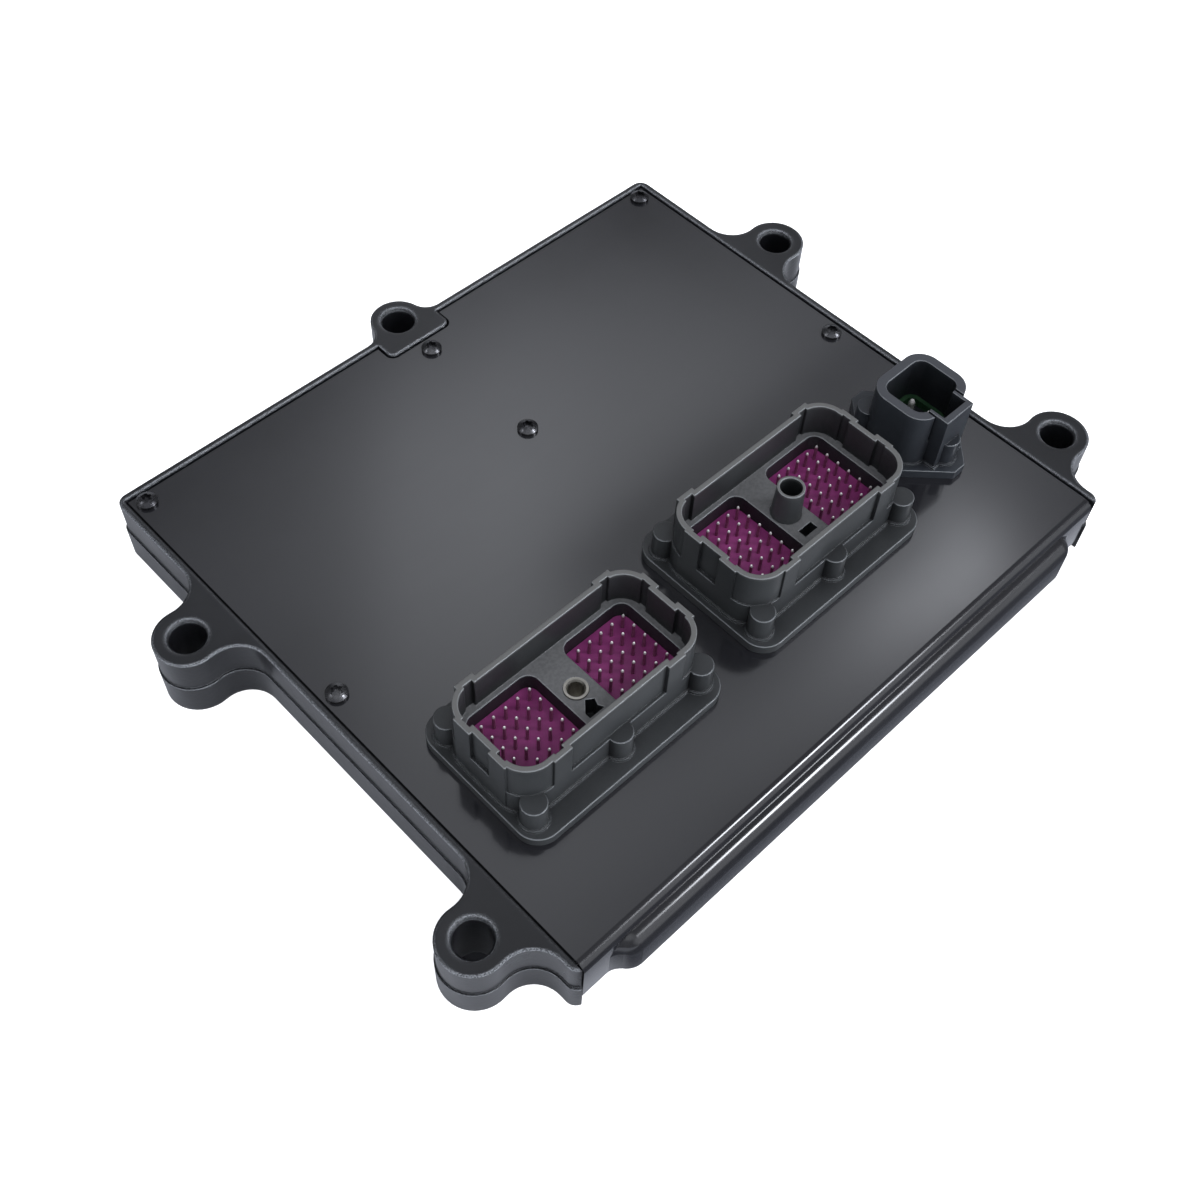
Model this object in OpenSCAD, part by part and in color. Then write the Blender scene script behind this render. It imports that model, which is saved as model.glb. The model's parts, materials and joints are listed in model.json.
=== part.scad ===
// Engine control unit: cast tray, pressed lid, two harness headers and a power header.
// Millimetres. Origin at the centre of the base face, X along the headers, Y to the back, Z up.

/* [Housing] */
// width of the tray across the rim
body_w = 250; // [222:1:320]
// depth of the tray from front to back
body_d = 226.3; // [200:0.1:280]
// height of the rim above the base face
body_h = 25.5; // [23:0.1:36]
// thickness of the tray's floor
floor_t = 3.5; // [2.5:0.1:5]
// width of the rim's top
rim_w = 2.2; // [1.8:0.1:3]
// width of the ledge that carries the lid
ledge_w = 4.3; // [3.5:0.1:6]
// corner radius of the tray
corner_r = 4; // [2:0.5:8]
// height of the mould's parting line
parting_h = 12.5; // [8:0.1:16]
// how far the lower mould half stands out
parting_step = 0.5; // [0.2:0.1:1]
// thickness of the low front wall behind the lid's fold
front_wall_t = 4.5; // [3:0.1:6]

/* [Ears] */
// distance of the side holes from the side walls
ear_reach = 13.6; // [12.5:0.1:16]
// distance of the rear side holes from the back wall
ear_rear = 61.65; // [50:0.05:75]
// distance of the front side holes from the front
ear_front = 27.95; // [27.5:0.05:40]
// outer radius of the side ears
ear_r = 11.2; // [9.5:0.1:12]
// radius that blends a side ear into the wall
ear_blend = 11; // [8:0.1:12]
// radius of the mounting holes
ear_hole_r = 6; // [4:0.1:6.5]
// chamfer at the mouths of the mounting holes
ear_chamfer = 0.8; // [0.4:0.1:1.2]
// distance of the back hole behind the back wall
back_reach = 3.25; // [2.5:0.05:6]
// outer radius of the back ear
back_ear_r = 10.2; // [9:0.1:12]
// radius that blends the back ear into the wall
back_blend = 7; // [5:0.1:9]
// width of the back ear's pad inside the rim
pad_w = 27.5; // [24:0.1:32]
// depth of that pad from the back wall
pad_depth = 10.15; // [9:0.05:12]
// corner radius of that pad
pad_r = 2.5; // [1.5:0.1:4]

/* [Lid] */
// sheet thickness of the lid
cover_t = 2; // [1.5:0.1:2.5]
// how far the lid lies below the rim
cover_drop = 0.7; // [0.3:0.1:1.2]
// width of the groove between the lid and the rim
groove_w = 0.9; // [0.5:0.1:1.4]
// height of the seal under the lid
seal_t = 0.3; // [0.2:0.05:0.6]
// width of the seal under the lid
seal_w = 1.6; // [1.2:0.1:1.8]
// distance of the seal from the lid's edge
seal_edge = 0.4; // [0.3:0.05:0.5]
// outer radius of the lid's front fold
fold_r = 3.5; // [2.8:0.1:4]
// how far the fold's face lies behind the front of the side walls
fold_inset = 0.4; // [0.2:0.1:1]
// height of the fold's lower edge above the base face
fold_bottom = 4.2; // [4:0.1:8]
// gap between the fold and the front wall
fold_gap = 0.4; // [0.3:0.1:0.8]
// how far the bulge stands out from the fold
bulge_out = 4.9; // [4:0.05:6]
// shoulder radius of the bulge
bulge_r = 5.2; // [4.8:0.1:5.8]
// drop from the lid's top to the bulge's top
bulge_drop = 4.4; // [4.2:0.1:5.5]
// distance of the bulge's full part from the side walls
bulge_inset = 22.6; // [15:0.1:30]
// length of the curved end of the bulge
bulge_run = 10.6; // [6:0.1:14]

/* [Lid screws] */
// distance of the side screws from the side walls
screw_inset = 8; // [7.6:0.1:8.6]
// distance of the corner screws from the back wall
screw_back = 7.15; // [7:0.05:8]
// position of the middle side screws
screw_mid_y = 3.3; // [0:0.1:12]
// distance of the middle back screw from the back wall
screw_rear = 16.15; // [15.8:0.05:18]
// distance of the centre screw from the back wall
screw_centre = 68.65; // [60:0.05:78]
// shank radius of the lid screws
screw_r = 1.75; // [1.5:0.05:1.8]
// head radius of the lid screws
screw_head_r = 3.7; // [3.2:0.1:4]
// head height of the lid screws
screw_head_h = 2.6; // [2:0.1:3]
// length of the lid screws' shanks
screw_len = 14; // [12:0.5:16]
// radius of the bosses that take the lid screws
screw_boss_r = 4.8; // [4.2:0.1:5]
// clearance between a screw and the hole it passes
screw_play = 0.3; // [0.2:0.05:0.4]
// clearance between a screw and the hole that holds it
screw_fit = 0.1; // [0.05:0.05:0.2]

/* [Harness headers] */
// share of the lid's free width to the left of the left header
left_share = 0.32; // [0.2:0.005:0.4]
// share of the lid's free width between the two harness headers
mid_share = 0.306; // [0.15:0.002:0.4]
// share of the lid's free width between the right header and the power header
right_share = 0.17; // [0.1:0.005:0.25]
// distance of the left header's middle from the front
left_front = 61.65; // [50:0.05:75]
// pin rows of the left header
left_rows = 5; // [4:1:5]
// distance of the right header's middle from the front
right_front = 64.35; // [54:0.05:75]
// pin rows of the right header
right_rows = 6; // [5:1:6]
// distance between pins
pin_pitch = 4.8; // [4.4:0.1:4.8]
// pin columns in each half
pin_cols = 5; // [4:1:5]
// distance of each half's middle from the header's middle
field_off = 19.7; // [19.5:0.1:20]
// radius of the pins
pin_r = 0.55; // [0.4:0.05:0.6]
// distance from a pin to the edge of its pocket along the header
pocket_end = 4; // [3:0.1:4.5]
// distance from a pin to the edge of its pocket across the header
pocket_side = 4.6; // [3:0.1:5]
// corner radius of the pockets
pocket_r = 4; // [2.5:0.1:4.5]
// half length of the shroud
shroud_hx = 37.7; // [37:0.1:44]
// distance from the outer pin row to the shroud's face
shroud_margin = 8.85; // [8.2:0.05:12]
// corner radius of the shroud
shroud_r = 10; // [7:0.1:11]
// wall thickness of the shroud
shroud_wall = 1.8; // [1.4:0.1:2]
// height of the shroud above the lid
shroud_h = 27.2; // [22:0.1:34]
// height of the bridge above the lid
bridge_h = 14.4; // [13:0.1:16]
// height of the pin seals above the lid
field_h = 7.8; // [7:0.1:9]
// height of the lower body and its screw bosses above the lid
step_h = 13.4; // [11:0.1:15]
// width of the foot round the lower body
foot_w = 0.7; // [0.3:0.1:1.2]
// length of each rib on the shroud
rib_len = 7; // [5:0.1:7.2]
// how far each rib and the lower body stand out
rib_out = 0.6; // [0.3:0.1:1.2]
// how far the panels between the ribs lie back
panel_in = 0.6; // [0.2:0.1:1]
// distance of the back ribs from the shroud's ends
rib_back_in = 10.2; // [9:0.1:14]
// distance of the front ribs from the shroud's ends
rib_front_in = 14.7; // [12:0.1:18]
// distance of the end ribs from the header's middle
rib_side = 7.5; // [6:0.1:8]
// distance from the shroud's end to the flange's edge
flange_end = 3.3; // [3:0.1:4.5]
// distance from the shroud's face to the flange's edge
flange_out = 8.8; // [7:0.1:10]
// thickness of the flange
flange_t = 3.6; // [3:0.1:4]
// corner radius of the flange
flange_r = 8; // [4:0.1:9]
// radius of the screw bosses
boss_r = 4.2; // [3.6:0.1:4.6]
// distance of the end bosses from the shroud's ends
boss_in = 3.2; // [2.8:0.1:5]
// shank radius of the header screws
header_screw_r = 1.5; // [1.2:0.1:1.6]
// outer radius of the left header's jack insert
jack_r = 3.9; // [3.2:0.1:4.4]
// thread radius of the left header's jack insert
jack_bore_r = 2.6; // [2:0.1:2.9]
// outer radius of the right header's jack tube
tube_r = 4.65; // [4.2:0.05:4.9]
// outer radius of that tube at its foot
tube_foot_r = 5.2; // [4.9:0.05:5.4]
// bore radius of the right header's jack tube
tube_bore_r = 3.75; // [3:0.05:3.8]
// width of the key recesses
key_w = 5.9; // [5:0.1:6.5]
// depth of the key recesses below the bridge
key_deep = 8; // [4:0.1:9]

/* [Power header] */
// distance of the power header's middle from the front
power_front = 64.35; // [50:0.05:80]
// half width of the power shroud
power_hx = 14.1; // [13.4:0.1:16]
// half depth of the power shroud
power_hy = 12.3; // [11.8:0.1:14]
// corner radius of the power shroud
power_r = 7.6; // [5.6:0.1:8]
// wall thickness of the power shroud
power_wall = 3.4; // [2.4:0.1:3.6]
// height of the power shroud above the lid
power_h = 26.4; // [24:0.1:30]
// height of the power socket's floor above the lid
power_floor = 6.7; // [6:0.1:8]
// half width of the latch box
latch_hx = 7; // [6.5:0.1:7.4]
// how far the latch box stands out from the power shroud
latch_out = 4.7; // [4.2:0.1:5.6]
// thickness of the latch box's front wall
latch_wall = 2.4; // [2:0.1:2.6]
// thickness of the latch box's side walls
latch_side = 1.2; // [1:0.1:1.4]
// width of the slits beside the latch box
slit_w = 0.9; // [0.6:0.1:1.1]
// depth of the slits below the power shroud's top
slit_depth = 12; // [8:0.5:14]
// distance from the power shroud's side to its flange's edge
power_flange_side = 3.4; // [2.8:0.1:5]
// distance from the power shroud's face to its flange's edge
power_flange_out = 11.2; // [10.8:0.1:13]
// half width of the power flange's front and back edges
power_flange_tip = 2.7; // [2:0.1:6]
// distance between power pins along X
power_pitch_x = 8.6; // [8:0.1:9]
// distance between power pins along Y
power_pitch_y = 7.6; // [7:0.1:8]
// radius of the power pins
power_pin_r = 1.2; // [1:0.1:1.2]
// height of the power pins above the lid
power_pin_h = 13.4; // [12:0.1:15]
// width of the seal ring in the power socket
ring_w = 1.6; // [1.2:0.1:1.8]
// height of the seal ring in the power socket
ring_h = 3; // [2:0.1:3.5]

/* [Gaskets] */
// distance from a header's skirt to its gasket
gasket_off = 1; // [0.9:0.1:1.2]
// width of the gaskets
gasket_w = 2; // [1.5:0.1:2]
// height of the gaskets
gasket_t = 1.6; // [1.2:0.1:1.8]
// clearance round a seated piece
seat_play = 0.15; // [0.1:0.05:0.2]

/* [Board] */
// thickness of the circuit board
board_t = 1.6; // [1.2:0.1:2]
// height of the circuit board's top above the base face
board_z = 12; // [11.5:0.1:12.5]
// gap between the circuit board and the tray
board_gap = 1; // [0.6:0.1:1.5]
// distance of the board screws from the board's edges
board_screw_in = 6; // [5.5:0.1:7]
// shank radius of the board screws
board_screw_r = 1.25; // [1:0.05:1.4]
// radius of the board's standoffs
standoff_r = 4; // [3.5:0.1:4.5]
// height of the chips
chip_h = 2.4; // [1.8:0.1:3]
// side of the main processor
processor_w = 27; // [24:0.5:30]
// radius of the capacitors
cap_r = 4; // [3:0.1:4.5]
// height of the capacitors
cap_h = 8.5; // [7:0.1:8.8]
// side of the inductors
inductor_w = 12; // [10:0.5:13]
// height of the inductors
inductor_h = 7; // [5:0.1:8]
// length of a memory chip
memory_w = 18; // [14:0.5:20]
// width of a memory chip
memory_d = 10; // [8:0.5:12]
// side of a supply chip
supply_w = 14; // [10:0.5:16]
// width of a driver chip
driver_w = 12; // [8:0.5:12]
// length of a driver chip
driver_d = 15; // [10:0.5:16]
// width of a transceiver
transceiver_w = 6; // [4:0.5:7]
// length of a transceiver
transceiver_d = 8; // [5:0.5:9]
// width of a power transistor
transistor_w = 10; // [8:0.5:11]
// length of a power transistor
transistor_d = 14; // [10:0.5:16]
// length of the crystal
crystal_w = 11; // [8:0.5:12]
// width of the crystal
crystal_d = 5; // [3:0.5:6]
// side of the pressure sensor
sensor_w = 12; // [8:0.5:13]
// height of the pressure sensor's body
sensor_h = 4; // [3:0.1:5]
// radius of the pressure sensor's port
sensor_port_r = 2.5; // [1.5:0.1:3]
// height of the pressure sensor's port
sensor_port_h = 3; // [2:0.1:3.5]
// gap between parts that stand in a row
part_gap = 5; // [3:0.5:6]
// thickness of the thermal pads
thermal_t = 1.2; // [0.8:0.1:1.5]
// half width of the thermal pads
thermal_hy = 9; // [8:0.5:10]
// distance of the thermal pads from the board's back edge
thermal_back = 22; // [18:0.5:26]

/* [Hidden] */
$fn = 64;
hw = body_w / 2;
hd = body_d / 2;
ear_x = hw + ear_reach;
ear_sum = ear_r + ear_blend;
ear_side = sqrt(ear_sum * ear_sum - pow(ear_reach - ear_blend, 2));
back_y = hd + back_reach;
back_sum = back_ear_r + back_blend;
back_side = sqrt(back_sum * back_sum - pow(back_reach - back_blend, 2));
ear_rear_y = hd - ear_rear;
ear_front_y = -hd + ear_front;
screw_centre_y = hd - screw_centre;
lid_hx = hw - rim_w - groove_w;
lid_y1 = hd - rim_w - groove_w;
lid_top = body_h - cover_drop;
lid_under = lid_top - cover_t;
ledge_z = lid_under - seal_t;
fold_y = -hd + fold_inset;
front_y = fold_y + fold_r + fold_gap;
front_in_y = front_y + front_wall_t;
bulge_y = fold_y - bulge_out;
bulge_hx = hw - bulge_inset;
bulge_top = lid_top - bulge_drop;
bulge_lap = 0.15;
bulge_rise = bulge_out + bulge_lap;
bulge_turn = 2 * atan(bulge_rise / bulge_run);
bulge_end_r = bulge_run / (2 * sin(bulge_turn));
bulge_end_round = min(bulge_r, 0.9 * bulge_end_r);
end_ease = 0.02;
end_lap = 0.6;
end_short = 4;
flange_hx = shroud_hx + flange_end;
power_flange_hx = power_hx + power_flange_side;
power_flange_hy = power_hy + power_flange_out;
power_cut = power_flange_hx - power_flange_tip;
free_w = body_w - 4 * flange_hx - 2 * power_flange_hx;
left_x = -hw + free_w * left_share + flange_hx;
right_x = left_x + 2 * flange_hx + free_w * mid_share;
power_x = right_x + flange_hx + free_w * right_share + power_flange_hx;
left_y = -hd + left_front;
right_y = -hd + right_front;
power_y = -hd + power_front;
shroud_top = lid_top + shroud_h;
bridge_z = lid_top + bridge_h;
field_z = lid_top + field_h;
seat_z = lid_top + flange_t;
step_z = lid_top + step_h;
skirt_z = board_z + 3;
field_hx = pin_pitch * (pin_cols - 1) / 2;
pocket_hx = field_hx + pocket_end;
window_hx = field_hx + 2;
skirt_hx = field_off + window_hx + 2;
rib_back = shroud_hx - rib_back_in;
rib_front = shroud_hx - rib_front_in;
boss_x = shroud_hx - boss_in;
jack_bottom = seat_z;
jack_floor = 2;
jack_lift = 0.4;
jack_chamfer = 0.5;
header_head_r = header_screw_r * 2.1;
header_head_h = header_screw_r * 1.4;
header_screw_top = step_z - 2;
power_top = lid_top + power_h;
power_floor_z = lid_top + power_floor;
power_boss_x = power_hx - boss_r - foot_w;
power_boss_back = power_hy;
power_boss_front = -(power_hy + latch_out - 1.4);
power_skirt_hx = 8.5;
power_skirt_hy = 7.6;
board_hx = lid_hx - ledge_w - board_gap - 5.1;
board_y0 = front_in_y + board_gap;
board_y1 = hd - screw_rear - screw_boss_r - board_gap;
board_under = board_z - board_t;
board_screw_x = board_hx - board_screw_in;
board_screw_ys = [board_y0 + board_screw_in, (board_y0 + board_y1) / 2, board_y1 - board_screw_in];
thermal_x = board_hx * 0.65;
thermal_hx = 1.5 * (transistor_w + part_gap) + 1.5;
thermal_y = board_y1 - thermal_back;
side_xs = [-hw + screw_inset, hw - screw_inset];
screw_back_y = hd - screw_back;
screw_rear_y = hd - screw_rear;

// rounded rectangle about the origin
module rrect(hx, hy, r) {
    square([2 * (hx - r), 2 * hy], center = true);
    square([2 * hx, 2 * (hy - r)], center = true);
    for (sx = [-1, 1], sy = [-1, 1])
        translate([sx * (hx - r), sy * (hy - r)])
            circle(r);
}

// rectangle between two corners
module span(x0, y0, x1, y1) {
    translate([x0, y0])
        square([x1 - x0, y1 - y0]);
}

// side ear on the right wall, grown by g
module side_ear(y, g) {
    touch = ear_x - (ear_reach - ear_blend) * (ear_r + g) / ear_sum;
    difference() {
        span(hw - 6, y - ear_side, touch, y + ear_side);
        for (s = [-1, 1])
            translate([hw + ear_blend, y + s * ear_side])
                circle(ear_blend - g);
    }
    translate([ear_x, y])
        circle(ear_r + g);
}

// back ear, grown by g
module back_ear(g) {
    touch = back_y - (back_reach - back_blend) * (back_ear_r + g) / back_sum;
    difference() {
        span(-back_side, hd - 6, back_side, touch);
        for (s = [-1, 1])
            translate([s * back_side, hd + back_blend])
                circle(back_blend - g);
    }
    translate([0, back_y])
        circle(back_ear_r + g);
}

// outline of the tray with its ears, grown by g
module tray_plan(g) {
    rrect(hw + g, hd + g, corner_r);
    for (m = [0, 1], y = [ear_front_y, ear_rear_y])
        mirror([m, 0])
            side_ear(y, g);
    back_ear(g);
}

// outline of the lid from y0 to the back, drawn in by e, with the notch for the back ear's pad
module lid_plan(e, y0) {
    notch_hy = pad_depth;
    notch_hx = pad_w / 2 + groove_w + e;
    difference() {
        span(-lid_hx + e, y0, lid_hx - e, lid_y1 - e);
        translate([0, hd - pad_depth - groove_w - e + notch_hy])
            rrect(notch_hx, notch_hy, pad_r + groove_w + e);
    }
}

// places the children at the six lid screws
module at_lid_screws() {
    for (x = side_xs, y = [screw_mid_y, screw_back_y])
        translate([x, y, 0])
            children();
    for (y = [screw_centre_y, screw_rear_y])
        translate([0, y, 0])
            children();
}

// places the children at the five mounting holes
module at_ears() {
    for (x = [-ear_x, ear_x], y = [ear_front_y, ear_rear_y])
        translate([x, y, 0])
            children();
    translate([0, back_y, 0])
        children();
}

// places the children at the board screws
module at_board_screws() {
    for (x = [-board_screw_x, board_screw_x], y = board_screw_ys)
        translate([x, y, 0])
            children();
}

module housing() {
    color([0.09, 0.09, 0.1])
    difference() {
        union() {
            difference() {
                union() {
                    linear_extrude(parting_h)
                        tray_plan(parting_step);
                    linear_extrude(body_h)
                        tray_plan(0);
                }
                translate([0, 0, ledge_z])
                    linear_extrude(body_h)
                        lid_plan(-groove_w, -body_d);
                translate([0, 0, floor_t])
                    linear_extrude(body_h)
                        lid_plan(ledge_w, front_in_y);
                translate([0, 0, -1])
                    linear_extrude(body_h + 2)
                        span(-hw + rim_w, -body_d, hw - rim_w, front_y);
            }
            at_lid_screws()
                cylinder(h = ledge_z, r = screw_boss_r);
            at_board_screws()
                cylinder(h = board_under, r = standoff_r);
            for (s = [-1, 1])
                translate([s * thermal_x - thermal_hx, thermal_y - thermal_hy, 0])
                    cube([2 * thermal_hx, 2 * thermal_hy, board_under - thermal_t]);
        }
        at_ears() {
            translate([0, 0, -1])
                cylinder(h = body_h + 2, r = ear_hole_r);
            translate([0, 0, body_h - ear_chamfer])
                cylinder(h = 2 * ear_chamfer, r1 = ear_hole_r, r2 = ear_hole_r + 2 * ear_chamfer);
        }
        at_lid_screws()
            translate([0, 0, lid_top - screw_len - 1])
                cylinder(h = body_h, r = screw_r + screw_fit);
        at_board_screws()
            translate([0, 0, floor_t])
                cylinder(h = body_h, r = board_screw_r + screw_fit);
    }
}

// section of the lid's bulge, thinned by t, reaching back to y1
module bulge_section(t, y1) {
    r = bulge_r - t;
    cy = bulge_y + bulge_r;
    cz = bulge_top - bulge_r;
    span(bulge_y + t, fold_bottom - t, y1, cz);
    span(cy, cz, y1, cz + r);
    intersection() {
        translate([cy, cz])
            circle(r);
        span(bulge_y, cz, cy, bulge_top);
    }
}

// half section of the bulge's curved end: face at r, material outside it (way 1) or inside it (way -1)
module end_section(r, way) {
    cz = bulge_top - bulge_end_round;
    top_r = r + way * bulge_end_round;
    deep_r = way > 0 ? 3 * bulge_end_r : 0;
    span(min(r, deep_r), fold_bottom, max(r, deep_r), cz);
    span(min(top_r, deep_r), cz, max(top_r, deep_r), bulge_top);
    intersection() {
        translate([top_r, cz])
            circle(bulge_end_round);
        span(min(r, top_r), cz, max(r, top_r), bulge_top);
    }
}

// the two curved ends of the bulge, each swept round an outer arc and then an inner arc
module bulge_ends() {
    end_x = bulge_hx + bulge_run;
    out_y = bulge_y + bulge_end_r + end_ease;
    in_y = bulge_y + bulge_rise - bulge_end_r;
    reach = 2.6 * bulge_end_r;
    turn = bulge_turn - end_short;
    over = 2 * end_short;
    for (m = [0, 1])
        mirror([m, 0, 0]) {
            intersection() {
                translate([bulge_hx, out_y, 0])
                    rotate_extrude()
                        end_section(bulge_end_r, -1);
                linear_extrude(lid_top)
                    intersection() {
                        translate([bulge_hx, out_y])
                            polygon([[0, 0], [-reach * sin(over), -reach * cos(over)], [0, -reach],
                                [reach * sin(bulge_turn + over), -reach * cos(bulge_turn + over)]]);
                        span(bulge_hx - end_lap, bulge_y - 1, end_x, fold_y + cover_t);
                    }
            }
            intersection() {
                translate([end_x, in_y, 0])
                    rotate_extrude()
                        end_section(bulge_end_r, 1);
                linear_extrude(lid_top)
                    intersection() {
                        translate([end_x, in_y])
                            polygon([[0, 0], [0, reach], [-reach * sin(turn), reach * cos(turn)]]);
                        span(bulge_hx, bulge_y - 1, end_x, fold_y + cover_t);
                    }
            }
        }
}

// sets a section drawn in Y and Z along X over a half length
module along_x(half) {
    translate([-half, 0, 0])
        rotate([90, 0, 90])
            linear_extrude(2 * half)
                children();
}

module cover() {
    color([0.11, 0.11, 0.12])
    difference() {
        union() {
            translate([0, 0, lid_under])
                linear_extrude(cover_t)
                    lid_plan(0, fold_y + fold_r);
            along_x(lid_hx) {
                intersection() {
                    difference() {
                        translate([fold_y + fold_r, lid_top - fold_r])
                            circle(fold_r);
                        translate([fold_y + fold_r, lid_top - fold_r])
                            circle(fold_r - cover_t);
                    }
                    span(fold_y, lid_top - fold_r, fold_y + fold_r, lid_top);
                }
                span(fold_y, fold_bottom, fold_y + cover_t, lid_top - fold_r);
            }
            along_x(bulge_hx + end_lap)
                bulge_section(0, fold_y + cover_t);
            bulge_ends();
        }
        along_x(bulge_hx)
            bulge_section(cover_t, front_y);
        at_lid_screws()
            translate([0, 0, lid_under - 1])
                cylinder(h = cover_t + 2, r = screw_r + screw_play);
        lid_cut(left_x, left_y)
            header_hole(left_rows);
        lid_cut(right_x, right_y)
            header_hole(right_rows);
        lid_cut(power_x, power_y)
            power_hole();
    }
}

// cuts the children's outline through the lid at a header
module lid_cut(x, y) {
    translate([x, y, lid_under - 1])
        linear_extrude(cover_t + 2)
            children();
}

// opening and screw holes for a harness header
module header_hole(rows) {
    rrect(skirt_hx + screw_play, skirt_hy(rows) + screw_play, 3);
    at_bosses(rows)
        circle(header_screw_r + screw_play);
}

// opening and screw holes for the power header
module power_hole() {
    rrect(power_skirt_hx + screw_play, power_skirt_hy + screw_play, 3);
    for (p = power_bosses())
        translate(p)
            circle(header_screw_r + screw_play);
}

function row_half(rows) = pin_pitch * (rows - 1) / 2;
function shroud_hy(rows) = row_half(rows) + shroud_margin;
function step_hy(rows) = shroud_hy(rows) + rib_out;
function skirt_hy(rows) = row_half(rows) + 4;
function pocket_hy(rows) = row_half(rows) + pocket_side;
function power_bosses() = [
    [-power_boss_x, power_boss_back],
    [power_boss_x, power_boss_back],
    [0, power_boss_front]];

module cover_seal() {
    color([0.16, 0.16, 0.17])
    translate([0, 0, ledge_z])
        linear_extrude(seal_t)
            difference() {
                lid_plan(seal_edge, front_y + seal_edge);
                lid_plan(seal_edge + seal_w, front_y + seal_edge + seal_w);
            }
}

// six-lobe drive outline
module lobes(r) {
    circle(r * 0.72);
    for (i = [0:5])
        rotate(60 * i)
            translate([r * 0.7, 0])
                circle(r * 0.3);
}

// half section of a pan head
module screw_head_section() {
    rim_h = screw_head_h * 0.45;
    dome_r = (screw_head_r * screw_head_r + pow(screw_head_h - rim_h, 2)) / (2 * (screw_head_h - rim_h));
    span(0, 0, screw_head_r, rim_h);
    intersection() {
        translate([0, screw_head_h - dome_r])
            circle(dome_r);
        span(0, rim_h - 0.1, screw_head_r, screw_head_h);
    }
}

module cover_screws() {
    color([0.2, 0.2, 0.21])
    at_lid_screws()
        translate([0, 0, lid_top])
            difference() {
                union() {
                    rotate_extrude()
                        screw_head_section();
                    translate([0, 0, -screw_len])
                        cylinder(h = screw_len, r = screw_r);
                }
                translate([0, 0, screw_head_h * 0.35])
                    linear_extrude(screw_head_h)
                        lobes(screw_head_r * 0.56);
            }
}

// outline of the shroud with its eight ribs and the panels between them, drawn in by e
module shroud_plan(rows, e) {
    hy = shroud_hy(rows);
    half = rib_len / 2 - e;
    out = rib_out - e;
    in_d = 3 * shroud_wall;
    difference() {
        union() {
            rrect(shroud_hx - e, hy - e, shroud_r - e);
            for (s = [-1, 1]) {
                span(s * rib_back - half, hy - in_d, s * rib_back + half, hy + out);
                span(s * rib_front - half, -hy - out, s * rib_front + half, -hy + in_d);
                span(shroud_hx - in_d, s * rib_side - half, shroud_hx + out, s * rib_side + half);
                span(-shroud_hx - out, s * rib_side - half, -shroud_hx + in_d, s * rib_side + half);
            }
        }
        span(half - rib_back, hy - panel_in - e, rib_back - half, hy + 1);
        span(half - rib_front, -hy - 1, rib_front - half, -hy + panel_in + e);
        for (s = [0, 1])
            mirror([s, 0])
                span(shroud_hx - panel_in - e, half - rib_side, shroud_hx + 1, rib_side - half);
    }
}

// places the children at a harness header's six screws
module at_bosses(rows) {
    for (x = [-boss_x, 0, boss_x], s = [-1, 1])
        translate([x, s * step_hy(rows)])
            children();
}

// outline of a header's lower body with its bosses, grown by g
module lower_plan(rows, g) {
    grow = rib_out + g;
    rrect(shroud_hx + grow, shroud_hy(rows) + grow, shroud_r + grow);
    at_bosses(rows)
        circle(boss_r + g);
}

// outline of a gasket round a skirt, grown by g
module gasket_plan(hx, hy, g) {
    difference() {
        rrect(hx + gasket_off + gasket_w + g, hy + gasket_off + gasket_w + g, 4);
        rrect(hx + gasket_off - g, hy + gasket_off - g, 3);
    }
}

// harness header body with its sockets, without the middle's key and jack
module header_body(rows) {
    hy = shroud_hy(rows);
    difference() {
        union() {
            translate([0, 0, lid_top])
                linear_extrude(flange_t)
                    rrect(flange_hx, hy + flange_out, flange_r);
            translate([0, 0, lid_top])
                linear_extrude(flange_t + foot_w)
                    lower_plan(rows, foot_w);
            translate([0, 0, lid_top])
                linear_extrude(step_h)
                    lower_plan(rows, 0);
            translate([0, 0, lid_top])
                linear_extrude(shroud_h)
                    shroud_plan(rows, 0);
            translate([0, 0, skirt_z])
                linear_extrude(lid_top - skirt_z + 1)
                    rrect(skirt_hx, skirt_hy(rows), 3);
        }
        translate([0, 0, bridge_z])
            linear_extrude(shroud_h)
                shroud_plan(rows, shroud_wall);
        for (s = [-1, 1]) {
            translate([s * field_off, 0, seat_z])
                linear_extrude(shroud_h)
                    rrect(pocket_hx, pocket_hy(rows), pocket_r);
            translate([s * field_off, 0, skirt_z - 1])
                linear_extrude(shroud_h)
                    rrect(window_hx, row_half(rows) + 2, 2);
        }
        translate([0, 0, lid_top - 1])
            linear_extrude(gasket_t + 1)
                gasket_plan(skirt_hx, skirt_hy(rows), seat_play);
        at_bosses(rows)
            translate([0, 0, lid_top - 1])
                cylinder(h = header_screw_top - lid_top + 1.5, r = header_screw_r + screw_fit);
    }
}

module header_left() {
    color([0.2, 0.2, 0.2])
    translate([left_x, left_y, 0])
        difference() {
            header_body(left_rows);
            translate([0, 0, jack_bottom])
                cylinder(h = shroud_h, r = jack_r + screw_fit);
            translate([0, 0, bridge_z - key_deep])
                linear_extrude(shroud_h)
                    scale(key_w)
                        polygon([[-0.66, -1.74], [0.34, -1.74], [0.16, -1.44], [0.3, -1.05],
                            [-0.1, -0.78], [-0.66, -1.4]]);
        }
}

module header_right() {
    color([0.2, 0.2, 0.2])
    translate([right_x, right_y, 0])
        difference() {
            header_body(right_rows);
            translate([0, 0, jack_bottom])
                cylinder(h = shroud_h, r = tube_foot_r + screw_fit);
            translate([0, 0, bridge_z - key_deep])
                linear_extrude(shroud_h)
                    span(-key_w / 2, -key_w * 1.92, key_w / 2, -key_w * 1.4);
        }
}

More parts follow.
